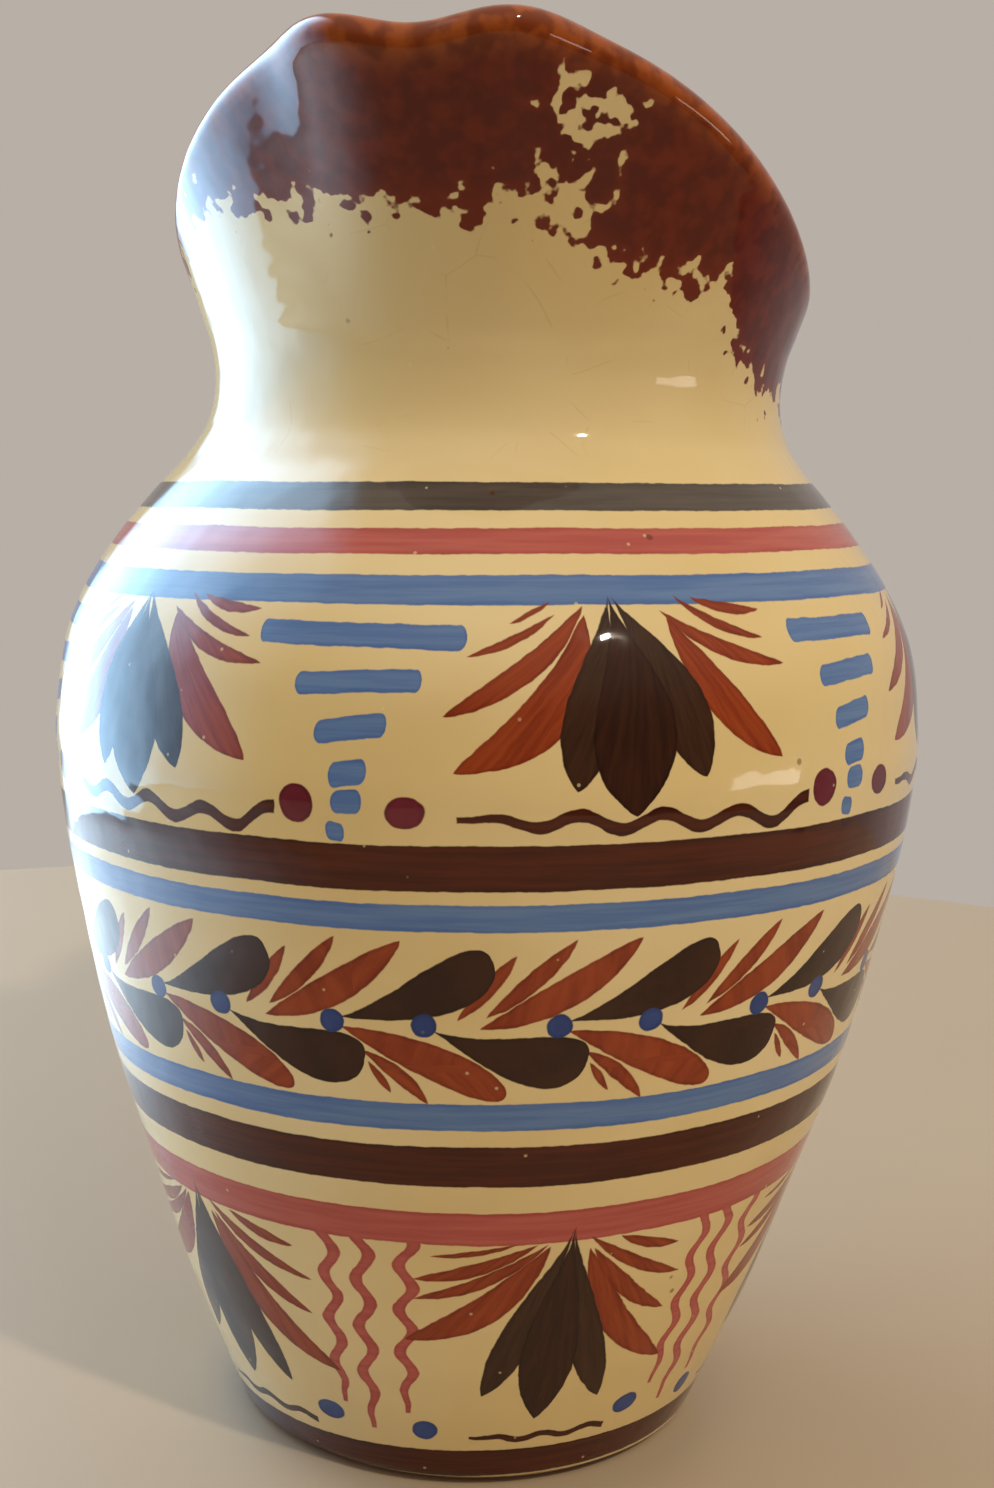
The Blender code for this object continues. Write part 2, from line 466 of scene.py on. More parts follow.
stretches = [
    bent_grid(COLUMNS, FOOT_ROWS, under_foot),
    bent_grid(COLUMNS, OUTER_ROWS, outside),
    bent_grid(COLUMNS, LIP_ROWS, over_lip),
    bent_grid(COLUMNS, INNER_ROWS, inside),
    bent_grid(COLUMNS, FLOOR_ROWS, floor_inside),
]
joined_wall = shape.node("GeometryNodeJoinGeometry", None, {"Geometry": stretches})
wall = shape.node("GeometryNodeMergeByDistance", None,
                  {"Geometry": joined_wall, "Distance": WELD_DISTANCE})
print("wall stretches", len(stretches))

# %% [markdown]
# ## The handle
#
# A pulled handle is a tapering strap of clay, stretched wet, bent over and pressed on at both ends.
# Its middle line is one cubic curve behind the neck. The section is an oval that swells into both
# roots. It is one more bent grid, closed at the ends, and a Boolean joins it to the wall.

# %% Handle path and section
HANDLE_TOP = 0.1415
HANDLE_FOOT = 0.0835
HANDLE_REACH = 0.113
HANDLE_LIFT = 0.171
HANDLE_DROP = 0.101
HANDLE_CREST_SHARE = 0.62
HANDLE_ROOT_WIDENING = 0.35
HANDLE_ROOT_THICKENING = 0.75
HANDLE_ROOT_SHARE = 0.16
HANDLE_BITE = 0.0024
HANDLE_RINGS = 110
HANDLE_SIDES = 48
CAP_ROWS = 3
END_SNAP = 1000.0


def back_radius(height):
    """Outside of the wall behind the neck, as a plain number."""
    shift = NAMED_SIZES["Mouth shift"] * max(height - SHIFT_START, 0.0) / SHIFT_RISE
    return rib_radius(height) - shift


top_joint = back_radius(HANDLE_TOP)
foot_joint = back_radius(HANDLE_FOOT)
crest_reach = top_joint + (HANDLE_REACH - top_joint) * HANDLE_CREST_SHARE
REACHES = (top_joint, crest_reach, HANDLE_REACH, foot_joint)
RISES = (HANDLE_TOP, HANDLE_LIFT, HANDLE_DROP, HANDLE_FOOT)


def cubic(t, a, b, c, d):
    """Point of a cubic curve with four control values."""
    u = 1.0 - t
    return u * u * u * a + u * u * t * (3 * b) + u * t * t * (3 * c) + t * t * t * d


def cubic_run(t, a, b, c, d):
    """Direction of the same curve."""
    u = 1.0 - t
    return u * u * (3 * (b - a)) + u * t * (6 * (c - b)) + t * t * (3 * (d - c))


def strap(share, along):
    """Around the section by share, and from the top joint to the foot joint by along."""
    caps = CAP_ROWS / HANDLE_RINGS
    t = ((along - caps) / (1 - 2 * caps)).at_least(0.0).at_most(1.0)
    cap = (1.0 - along / caps).at_least((along - (1 - caps)) / caps).at_least(0.0)
    near = (t.at_most(1.0 - t) / HANDLE_ROOT_SHARE).at_most(1.0)
    swell = (1.0 - near) * (1.0 - near)
    run_y = cubic_run(t, *REACHES)
    run_z = cubic_run(t, *RISES)
    length = (run_y * run_y + run_z * run_z).math("SQRT")
    turn = share * (-2 * math.pi)
    half_width = (swell * HANDLE_ROOT_WIDENING + 1.0) * size["Handle width"] * 0.5
    half_thickness = (swell * HANDLE_ROOT_THICKENING + 1.0) * size["Handle thickness"] * 0.5
    side = turn.cos() * (1.0 - cap) * half_width
    face = turn.sin() * (1.0 - cap) * half_thickness
    y = cubic(t, *REACHES) + face * run_z / length
    z = cubic(t, *RISES) - face * run_y / length
    angle = side.math("ARCTAN2", -y)
    depth = outer_radius(angle, z) - HANDLE_BITE
    sunk = (depth * depth - side * side).at_least(0.0).math("SQRT")
    free = (near * END_SNAP).at_most(1.0)
    return shape.vector(side, y * free + sunk * (1.0 - free), z)


handle = shape.node("GeometryNodeMergeByDistance", None,
                    {"Geometry": bent_grid(HANDLE_SIDES, HANDLE_RINGS, strap),
                     "Distance": WELD_DISTANCE})
print("handle reach in mm", round(1000 * HANDLE_REACH, 1))

# %% [markdown]
# Where clay meets clay the potter wipes the joint with a wet finger. After the Boolean, the points
# next to the seam are averaged with their neighbours, which rounds the crease the same way. Two
# numbers are then kept on each point for the paint: its depth under the outside of the wall, which
# is negative on the handle, and its distance below the top of the lip.

# %% Join, wipe the seam and finish the tree
SEAM_SPREAD = 7
SEAM_WIPES = 14
SEAM_GAIN = 4.0


def mark(geometry, name, value):
    """Keeps a number on every point, for the paint to read."""
    return shape.node("GeometryNodeStoreNamedAttribute", {"data_type": "FLOAT", "domain": "POINT"},
                      {"Geometry": geometry, "Name": name, "Value": value})


union = shape.node("GeometryNodeMeshBoolean", {"operation": "UNION", "solver": "EXACT"},
                   {1: [wall, handle]})
seam = Value(shape, union.socket.node.outputs["Intersecting Edges"])
wet = shape.node("GeometryNodeBlurAttribute", {"data_type": "FLOAT"},
                 {"Value": seam * 1.0, "Iterations": SEAM_SPREAD})
wet_clay = mark(union, "wet", (wet * SEAM_GAIN).at_most(1.0))
wet_share = shape.node("GeometryNodeInputNamedAttribute", {"data_type": "FLOAT"}, {"Name": "wet"})
wiped = shape.node("GeometryNodeBlurAttribute", {"data_type": "FLOAT_VECTOR"},
                   {"Value": shape.node("GeometryNodeInputPosition"), "Iterations": SEAM_WIPES,
                    "Weight": wet_share})
smooth = shape.node("GeometryNodeSetPosition", None, {"Geometry": wet_clay, "Position": wiped})
smooth = shape.node("GeometryNodeSetShadeSmooth", None, {"Geometry": smooth, "Shade Smooth": True})

x, y, z = shape.parts(shape.node("GeometryNodeInputPosition"))
own_angle = x.math("ARCTAN2", -y)
own_depth = outer_radius(own_angle, z) - (x * x + y * y).math("SQRT")
marked = mark(smooth, "depth", own_depth)
marked = mark(marked, "below_rim", rim_height(own_angle) - z)
real = shape.node("GeometryNodeRealizeInstances", None, {"Geometry": marked})
print("tree has", len(shape.tree.nodes), "nodes before the material")

# %% [markdown]
# ## The painter's coordinates
#
# The painter turned the jug on a whirler and worked by eye, so every mark is placed by the angle
# around the body and the height up it. Angles become millimetres at the radius of each zone, and a
# little slow noise bends the coordinates, so that no two repeats are quite the same.

# %% Angle, height and a steady hand
paint = bpy.data.materials.new("painted_glaze")
paint.use_nodes = True
paint.node_tree.nodes.clear()
brush = Bench(paint.node_tree)

BAND_TILT_X = 0.0331
BAND_TILT_Y = -0.0096
SWAY_SCALE = 45.0
SWAY_MM = 1.1
TREMBLE_SCALE = 620.0
TREMBLE_MM = 0.34
MM = 1000.0
place = brush.node("ShaderNodeTexCoord", output="Object")
px, py, pz = brush.parts(place)
angle = px.math("ARCTAN2", -py) * math.degrees(1.0)
level = (pz - px * BAND_TILT_X - py * BAND_TILT_Y) * MM

sway = brush.noise(place, SWAY_SCALE, 1.0, output=1)
sway_x, sway_y, _ = brush.parts(sway)
tremble = brush.noise(place, TREMBLE_SCALE, 2.0, output=1)
tremble_x, tremble_y, _ = brush.parts(tremble)
off_x = (sway_x - 0.5) * SWAY_MM + (tremble_x - 0.5) * TREMBLE_MM
off_y = (sway_y - 0.5) * SWAY_MM + (tremble_y - 0.5) * TREMBLE_MM
height = level + off_y


def paint_space(turn, mm_per_degree):
    """Millimetres across and up, from degrees off the motif's axis."""
    return brush.vector(turn * mm_per_degree + off_x, height)


print("painter's coordinates are ready")

# %% Marks of a brush


def press(spot, root, tip, half_width, bend=0.0, root_power=0.85, tip_power=0.78):
    """One pressed stroke: millimetres inside its edge, and negative outside."""
    step = (tip[0] - root[0], tip[1] - root[1])
    length = math.hypot(*step)
    run = (step[0] / length**2, step[1] / length**2)
    side = (-step[1] / length, step[0] / length)
    along = spot.dot((*run, 0.0)) - (root[0] * run[0] + root[1] * run[1])
    across = spot.dot((*side, 0.0)) - (root[0] * side[0] + root[1] * side[1])
    rest = 1.0 - along
    belly = root_power / (root_power + tip_power)
    peak = belly**root_power * (1 - belly)**tip_power
    width = along**root_power * rest**tip_power * (half_width / peak)
    inside = width - abs(across - along * rest * (4 * bend))
    return inside.at_most(along.at_most(rest) * length)


def dab(spot, centre, across, up):
    """One round touch of the tip."""
    x, y, _ = brush.parts(spot)
    dx = (x - centre[0]) * (1.0 / across)
    dy = (y - centre[1]) * (1.0 / up)
    return (1.0 - (dx * dx + dy * dy).math("SQRT")) * min(across, up)


def any_of(marks):
    """The union of several marks."""
    total = marks[0]
    for item in marks[1:]:
        total = total.at_least(item)
    return total


def edge(distance, soft=0.09):
    """How much paint there is, from the distance inside the edge."""
    return distance.step(-soft, soft)


print("brush marks are ready")

# %% [markdown]
# ## Banding
#
# The bands come first: the jug turns and a loaded brush is held against it. Their edges waver a
# little with the hand, and the colour streaks along the turn as the brush runs dry.

# %% Turn the bands
BAND_SWAY = 0.7
BAND_TREMBLE = 0.26


def band(low, high):
    """Millimetres inside a band around the body."""
    hand = (sway_y - 0.5) * BAND_SWAY + (tremble_y - 0.5) * BAND_TREMBLE
    return (high - low) / 2 - abs(level + hand - (low + high) / 2)


grey_band = band(121.3, 124.4)
rose_bands = any_of([band(116.6, 119.4), band(36.7, 41.2)])
blue_bands = any_of([band(111.3, 114.4), band(76.3, 79.4), band(52.2, 55.6)])
brown_bands = any_of([band(80.9, 86.0), band(44.8, 50.1), band(0.7, 5.1)])
print("bands placed by height in mm")

# %% [markdown]
# ## The tulip sprays
#
# Each spray is eleven presses from one point: three petals side by side, and four leaves on each
# side, the lowest the fullest. Six could be drawn one by one, but one drawing folded into a repeat
# of sixty degrees is shorter. The painter spaced them by eye, so the angle is eased a little first,
# and over each pair of repeats one leaf grows fuller and leaner again.

# %% Fold the angle into repeats
REPEAT = 60.0
UPPER_AXIS = 25.0
LOWER_AXIS = 23.2
UPPER_EASE = (1.4, 1.1)
LOWER_EASE = (1.9, 4.7)
UPPER_MM = 0.986
LOWER_MM = 0.716


def folded(turn, period, start):
    """The same angle in every repeat, counted from where the repeat starts."""
    return turn.wrap(start, start + period)


upper_x = (angle - UPPER_AXIS) * math.radians(1.0)
upper_ease = upper_x.sin() * UPPER_EASE[0] + (upper_x * 2.0).sin() * UPPER_EASE[1]
upper_turn = angle - UPPER_AXIS - upper_ease
lower_x = (angle - LOWER_AXIS) * math.radians(1.0)
lower_ease = lower_x.sin() * LOWER_EASE[0] + (lower_x.cos() - 1.0) * LOWER_EASE[1]
lower_turn = angle - LOWER_AXIS - lower_ease
upper_cell = paint_space(folded(upper_turn, REPEAT, -REPEAT / 2), UPPER_MM)
lower_cell = paint_space(folded(lower_turn, REPEAT, -REPEAT / 2), LOWER_MM)
print("repeats around the body", round(360 / REPEAT))

# %% Press the petals and leaves
UPPER_ROOT = (-2.7, 112.0)
LOWER_ROOT = (0.3, 38.6)
PAIR_START = -5.0
pair_turn = (angle - PAIR_START) * math.radians(180 / REPEAT)
hand = pair_turn.sin() * 0.5 + 0.5
upper_petals = [
    press(upper_cell, UPPER_ROOT, (-6.3, 91.8), 2.9, -0.4, 1.5, 0.85),
    press(upper_cell, UPPER_ROOT, (0.0, 88.9), 4.5, 0.6, 1.6, 0.9),
    press(upper_cell, (-2.3, 112.0), (7.7, 92.7), 2.9, 0.75, 1.4, 0.8),
]
upper_leaves = any_of([
    press(upper_cell, (-5.7, 110.2), (-18.6, 93.9), 2.7, 3.2),
    press(upper_cell, (-5.8, 111.0), (-20.1, 99.9), 1.3, 1.1),
    press(upper_cell, (-9.1, 110.3), (-18.2, 106.1), 0.5, 0.4),
    press(upper_cell, (-9.4, 111.6), (-13.9, 109.5), 0.3, 0.1),
    press(upper_cell, (3.9, 109.9), (17.3, 94.3), 2.7 - hand * 0.7, -1.5),
    press(upper_cell, (3.3, 110.6), (18.2, 104.7), 0.9, -1.2),
    press(upper_cell, (5.4, 112.2), (16.0, 107.5), 0.55, -0.8),
    press(upper_cell, (7.5, 112.0), (16.6, 110.5), 0.6, -0.5),
])
lower_petals = [
    press(lower_cell, LOWER_ROOT, (-8.1, 14.0), 2.2, 0.6, 1.7, 0.85),
    press(lower_cell, LOWER_ROOT, (-0.6, 10.1), 3.5, 0.0, 1.8, 0.9),
    press(lower_cell, LOWER_ROOT, (8.2, 12.3), 2.3, -1.2, 1.7, 0.85),
]
lower_leaves = any_of([
    press(lower_cell, (-2.0, 36.2), (-17.3, 22.5), 2.0, 2.4),
    press(lower_cell, (-2.3, 36.5), (-16.0, 28.7), 0.85, 1.2),
    press(lower_cell, (-3.4, 36.6), (-15.9, 31.5), 0.9, 0.8),
    press(lower_cell, (-5.3, 36.9), (-14.0, 35.0), 0.4, 0.3),
    press(lower_cell, (2.2, 35.3), (16.8, 16.3), 1.9, -2.6),
    press(lower_cell, (2.7, 35.3), (14.4, 24.3), 1.1, -1.3),
    press(lower_cell, (2.2, 37.0), (15.1, 29.4), 0.85, -1.1),
    press(lower_cell, (5.5, 36.5), (13.5, 33.9), 0.75, -0.5),
])
tulips = any_of(upper_petals + lower_petals)
middle_petals = any_of([upper_petals[1], lower_petals[1]])
print("presses in each spray", 3 + 8)

# %% [markdown]
# Between the sprays stand short blue bars that narrow like a ladder, with a crimson dab on each
# side. Under each tulip runs one dark wavering line. In the lower zone three rose lines wave down
# between the sprays instead, and blue dabs sit by the foot.

# %% Bars, dabs and wavering lines
LADDER = (
    (-0.6, 108.1, 12.1, 1.27, -0.01),
    (0.15, 103.2, 6.9, 1.22, 0.05),
    (-0.1, 98.3, 3.9, 1.27, 0.14),
    (0.0, 93.7, 2.1, 1.35, 0.12),
    (0.05, 90.7, 1.7, 1.3, 0.05),
    (-1.2, 87.4, 1.05, 1.05, -0.2),
)
SHORTENING = 0.0232
BAR_ROUNDING = 0.6
BAR_BLUNTNESS = 2.8
short = 0.5 - pair_turn.cos() * 0.5
ladder_cell = paint_space(folded(upper_turn, REPEAT, 0.0) - REPEAT / 2, UPPER_MM)
wavy_cell = paint_space(folded(lower_turn, REPEAT, 0.0) - REPEAT / 2, LOWER_MM)


def bar(spot, middle, up, half_length, half_width, slope):
    """A short pulled stroke with blunt, rounded ends."""
    x, y, _ = brush.parts(spot)
    reach = (1.0 - short * (half_length * SHORTENING)) * half_length
    beyond = (abs(x - middle) - (reach - half_width * BAR_ROUNDING)).at_least(0.0)
    aside = abs(y - up - (x - middle) * slope)
    return half_width - (beyond * beyond * BAR_BLUNTNESS + aside * aside).math("SQRT")


def wavering(along, across, start, end, half_width, swing, period, shift):
    """A line that wavers across while it runs along."""
    started = ((along - start) / (end - start) * 4.0).at_most(1.0).at_least(0.0)
    wave = (along * (2 * math.pi / period) + shift).sin() * started * swing
    body = (started * 0.55 + 0.45) * half_width - abs(across - wave)
    return body.at_most(along - start).at_most(end - along)


ladder_bars = any_of([bar(ladder_cell, *row) for row in LADDER])
crimson_dabs = any_of([
    dab(ladder_cell, (-5.65, 90.2), 2.0, 2.15),
    dab(ladder_cell, (6.1, 89.65), 2.05, 1.8),
])

ux, uy, _ = brush.parts(upper_cell)
lx, ly, _ = brush.parts(lower_cell)
upturn = (ux - 17.0).at_least(0.0) * 0.28 - ux * 0.03
dark_lines = any_of([
    wavering(ux, uy - 88.3 - upturn, -18.3, 21.3, 0.74, 0.8, 8.8, 5.8),
    wavering(lx, ly - 7.1, -9.3, 10.9, 0.5, 0.35, 7.0, 0.6),
])
cx, cy, _ = brush.parts(wavy_cell)
drift = ((angle + 8.5) * math.radians(2.0)).cos() * 0.05 * (cy - 24.0)
rose_lines = any_of([
    wavering(cy, cx + 4.3 - drift, 11.5, 38.0, 0.72, 0.7, 6.6, 0.4),
    wavering(cy, cx + 0.5 - drift, 7.8, 37.5, 0.78, 0.8, 7.0, 2.2),
    wavering(cy, cx - 4.4 - drift, 10.8, 37.0, 0.75, 0.8, 6.4, 3.4),
])
blue_dabs_low = any_of([
    dab(lower_cell, (-15.45, 8.2), 1.8, 1.5),
    dab(lower_cell, (13.8, 9.5), 2.1, 1.5),
])
print("ladder bars", len(LADDER))

# %% [markdown]
# ## The garland
#
# The belly carries a running garland: from each blue dab a dark leaf swings up and the next one
# down, with a fan of three red strokes beside each. It repeats thirteen times around, and each
# stroke is folded so that its own repeat starts just before its root.

# %% Garland strokes
GARLAND_REPEATS = 13
GARLAND_AXIS = 17.7
GARLAND_MM = 0.925
garland_period = 360 / GARLAND_REPEATS
garland_turn = angle - GARLAND_AXIS


def garland_space(start):
    """Millimetres across and up in one repeat of the garland."""
    return paint_space(folded(garland_turn, garland_period, start), GARLAND_MM)


from_dab = garland_space(-3.0)
before_dab = garland_space(-18.0)
fan = garland_space(-15.0)
garland_dark = any_of([
    press(from_dab, (1.0, 65.7), (18.3, 72.9), 3.0, -1.1, 1.3, 0.4),
    press(before_dab, (-13.8, 64.9), (4.0, 60.6), 3.3, -1.3, 1.4, 0.4),
])
garland_red = any_of([
    press(fan, (-10.8, 66.0), (-4.9, 73.6), 0.85, -0.2),
    press(fan, (-7.7, 66.4), (1.2, 75.3), 1.05, -0.4),
    press(fan, (-8.3, 65.0), (8.5, 75.2), 1.85, -1.2),
    press(from_dab, (1.4, 64.6), (20.3, 56.6), 2.2, 0.6, 0.9, 0.5),
    press(from_dab, (3.8, 61.9), (11.3, 55.6), 0.9, 0.5),
    press(from_dab, (4.4, 60.5), (6.9, 56.9), 0.5, 0.0),
])
garland_dabs = any_of([
    dab(from_dab, (0.3, 65.2), 1.5, 1.45),
    dab(before_dab, (-14.6, 65.3), 1.5, 1.4),
])
print("garland repeats", GARLAND_REPEATS)

# %% [markdown]
# ## The sponged lip
#
# The lip was dabbed with a sponge full of iron-red slip. A sponge leaves a ragged lower edge, loose
# islands and pinholes, so the cover is a noise compared with the height above a listed line,
# which is cheaper than placing each dab. In front, beside the spout, use has worn flecks away. On
# the crest the glaze ran thin and fired orange.

# %% Sponge line around the lip
SPONGE_LINE = ((-180, 136), (-140, 135), (-105, 136), (-78, 143), (-62, 150.5), (-44, 154.5),
               (-18, 154), (0, 154), (12, 153.6), (21, 150.5), (31, 147.4), (45, 147.2), (52, 143),
               (60, 138.2), (78, 136), (110, 135), (145, 135), (180, 136))
SPONGE_TOP = 180.0
SPONGE_SLOPE = 1 / 15
FULL_COVER = 0.75
INSIDE_COVER = 9.0
HANDLE_LINE = 150.5
WORN_ANGLE = 20.0
WORN_HEIGHT = 164.0
WORN_HALF_ANGLE = 15.0
WORN_HALF_HEIGHT = 7.5
WORN_FALL = 2.5
WORN_AWAY = 0.75


def kept(name):
    """A number that the wall's points carry."""
    return brush.node("ShaderNodeAttribute", {"attribute_name": name}, output="Fac")


under_rim = kept("below_rim") * MM
depth = kept("depth") * MM
above_foot = pz * MM
is_inner = depth.step(2.6, 3.6) * above_foot.step(2.5, 3.5)
on_handle = depth.step(-0.6, -1.0)
line = brush.node("ShaderNodeFloatCurve",
                  {"points": [((a + 180) / 360, z / SPONGE_TOP) for a, z in SPONGE_LINE]},
                  {"Value": (angle + 180.0) / 360.0}) * SPONGE_TOP
sponge_pores = brush.noise(place, 430.0, 1.0) * 0.78 + brush.noise(place, 950.0, 1.0) * 0.24
sponge = sponge_pores + brush.noise(place, 190.0, 1.0) * 0.36 - 0.19
worn_x = (angle - WORN_ANGLE) / WORN_HALF_ANGLE
worn_y = (above_foot - WORN_HEIGHT + worn_x * WORN_FALL) / WORN_HALF_HEIGHT
worn = (-(worn_x * worn_x + worn_y * worn_y)).math("EXPONENT") * WORN_AWAY
outer_cover = (above_foot - line) * SPONGE_SLOPE
inner_cover = (INSIDE_COVER - under_rim) * SPONGE_SLOPE
cover = outer_cover + (inner_cover - outer_cover) * is_inner
handle_cover = (above_foot - HANDLE_LINE) * SPONGE_SLOPE
cover = cover + (handle_cover - cover) * on_handle
sponged = (cover.at_most(FULL_COVER) + sponge - 0.5 - worn).step(-0.012, 0.03)
crest = under_rim.step(4.5, 0.4) * (1.0 - on_handle) * 0.7
print("sponge line points", len(SPONGE_LINE))

# %% [markdown]
# ## Pigments under the glaze
#
# One-stroke colours are transparent where the brush ran thin and dark where it stopped. Each colour
# is therefore a pair, thin and full, mixed by streaks that fan out from the root of the stroke.

# %% Colours of the pots


def pot(red, green, blue):
    """Screen colour as the renderer's linear colour."""
    def linear(level):
        share = level / 255
        return share / 12.92 if share <= 0.04045 else ((share + 0.055) / 1.055) ** 2.4
    return (linear(red), linear(green), linear(blue), 1.0)


IVORY = pot(240, 219, 168)
STRAW = pot(227, 200, 138)
PIGMENTS = {
    "rose": (pot(198, 106, 92), pot(170, 70, 66)),
    "blue": (pot(112, 142, 184), pot(74, 108, 170)),
    "dab_blue": (pot(62, 88, 150), pot(36, 54, 112)),
    "leaf": (pot(170, 76, 36), pot(118, 38, 15)),
    "dark": (pot(92, 38, 16), pot(50, 16, 6)),
    "petal": (pot(76, 48, 30), pot(44, 26, 16)),
    "heart": (pot(68, 36, 21), pot(38, 20, 12)),
    "grey": (pot(98, 88, 80), pot(70, 62, 56)),
    "crimson": (pot(124, 46, 58), pot(92, 26, 38)),
    "sponge": (pot(132, 44, 14), pot(86, 22, 5)),
}
CREST_ORANGE = pot(186, 98, 36)

ZONE_SPLIT = 60.0
LOWER_FAN_TOP = 39.0
FAN_SETBACK = 3.0
in_upper = level.step(ZONE_SPLIT - 0.5, ZONE_SPLIT + 0.5)
fan_x = lx + (ux - lx) * in_upper
fan_y = (UPPER_ROOT[1] - uy) * in_upper + (LOWER_FAN_TOP - ly) * (1.0 - in_upper)
fan_angle = fan_x.math("ARCTAN2", fan_y + FAN_SETBACK)
fan_streaks = brush.noise(brush.vector(fan_angle * 26.0, fan_y * 0.11, pz * 40.0), 1.0, 3.0, 0.6)
turn_streaks = brush.noise(brush.vector(px * 60.0, py * 60.0, level * 1.3), 1.0, 3.0, 0.6)
blotch = brush.noise(place, 160.0, 3.0, 0.6)


def lay(ground, name, distance, tone):
    """Paints one colour over the ground inside its edge, with paint pooled along the edge."""
    thin, full = PIGMENTS[name]
    pooled = distance.step(0.6, 0.05) * 0.3
    pigment = brush.mix((tone.step(0.3, 0.7) * 0.5 + 0.2 + pooled).at_most(1.0), thin, full)
    return brush.mix(edge(distance), ground, pigment)


print("pots of colour", len(PIGMENTS) + 3)

# %% Lay the colours, from the ground up
glaze_tone = brush.noise(place, 22.0, 2.0, 0.5)
ground = brush.mix(glaze_tone.step(0.25, 0.75), IVORY, STRAW)
speck = brush.node("ShaderNodeTexVoronoi", None, {"Vector": place, "Scale": 170.0})
speck_pick, _, _ = brush.parts(Value(brush, speck.socket.node.outputs["Color"]))
specks = speck.step(0.085, 0.05) * speck_pick.step(0.9, 0.92)
bend_place = brush.node("ShaderNodeVectorMath", {"operation": "MULTIPLY_ADD"},
                        {0: sway, 1: (0.006, 0.006, 0.006), 2: place}, output="Vector")
crackle = brush.node("ShaderNodeTexVoronoi", {"feature": "DISTANCE_TO_EDGE"},
                     {"Vector": bend_place, "Scale": 95.0})
craze = crackle.step(0.010, 0.002) * blotch.step(0.5, 0.62) * level.step(126.0, 129.0) * 0.10
outer_paint = (1.0 - is_inner) * (1.0 - on_handle)


def on_body(distance):
    """Keeps a mark off the inside and the handle."""
    return distance - (1.0 - outer_paint) * 9.0


colour = lay(ground, "grey", on_body(grey_band), turn_streaks)
colour = lay(colour, "rose", on_body(any_of([rose_bands, rose_lines])), turn_streaks)
colour = lay(colour, "blue", on_body(any_of([blue_bands, ladder_bars])), turn_streaks)
colour = lay(colour, "leaf", on_body(any_of([upper_leaves, lower_leaves, garland_red])), fan_streaks)
colour = lay(colour, "dark", on_body(any_of([brown_bands, dark_lines])), turn_streaks)
colour = lay(colour, "heart", on_body(garland_dark), blotch)
colour = lay(colour, "petal", on_body(tulips), fan_streaks)
colour = lay(colour, "heart", on_body(middle_petals), fan_streaks)
colour = lay(colour, "crimson", on_body(crimson_dabs), blotch)
colour = lay(colour, "dab_blue", on_body(any_of([garland_dabs, blue_dabs_low])), blotch)
pinholes = brush.node("ShaderNodeTexVoronoi", None, {"Vector": place, "Scale": 620.0})
pinhole_pick, _, _ = brush.parts(Value(brush, pinholes.socket.node.outputs["Color"]))
colour = brush.mix(pinholes.step(0.16, 0.09) * pinhole_pick.step(0.96, 0.97) * 0.5, colour, IVORY)
print("colours laid")

# %% Sponge the lip and the handle's top
soaked = sponge.step(0.34, 0.62) * 0.4 + cover.step(0.0, 0.25) * 0.4 + 0.1
colour = brush.mix(sponged, colour, brush.mix(soaked, *PIGMENTS["sponge"]))
colour = brush.mix(crest * (sponge.step(0.62, 0.38) * 0.5 + 0.35), colour, CREST_ORANGE)
colour = brush.mix((specks * 0.6).at_least(craze), colour, PIGMENTS["dark"][0])
print("lip sponged")

# %% [markdown]
# ## Glaze and bare clay
#
# The glaze is a thick clear skin over the colours, so one glossy shader is enough: the colours are
# its base, and its own reflection is the skin. That skin is slightly uneven, so a fine bump breaks
# the reflections. Under the foot the clay was wiped bare to stop it sticking in the kiln.

# %% Finish the material
skin_noise = brush.noise(place, 110.0, 2.0, 0.5)
skin_bump = brush.node("ShaderNodeBump", None,
                       {"Strength": 0.34, "Distance": 0.0006, "Height": skin_noise})
glaze = brush.node("ShaderNodeBsdfPrincipled", None, {
    "Base Color": colour, "Roughness": blotch * 0.05 + 0.03, "IOR": 1.5, "Specular IOR Level": 0.34,
    "Normal": skin_bump,
})
CLAY = (pot(196, 142, 100), pot(168, 112, 74))
clay_grain = brush.noise(place, 900.0, 4.0, 0.7)
clay_bump = brush.node("ShaderNodeBump", None,
                       {"Strength": 0.4, "Distance": 0.0004, "Height": clay_grain})
clay = brush.node("ShaderNodeBsdfPrincipled", None, {
    "Base Color": brush.mix(clay_grain, *CLAY), "Roughness": 0.85, "Normal": clay_bump,
})
bare = above_foot.step(0.45, 0.2)
surface = brush.node("ShaderNodeMixShader", None, {0: bare, 1: glaze, 2: clay})
brush.node("ShaderNodeOutputMaterial", None, {"Surface": surface})
print("paint nodes", len(brush.tree.nodes))

# %% [markdown]
# ## Make the jug
#
# The tree ends in its material. Its inputs are set on the modifier by their identifiers, the
# evaluated result becomes a plain mesh, and the modifier goes.

# %% Turn the tree into a mesh
finished = shape.node("GeometryNodeSetMaterial", None, {"Geometry": real, "Material": paint})
end = shape.tree.nodes.new("NodeGroupOutput")
shape.tree.links.new(finished.socket, end.inputs[0])

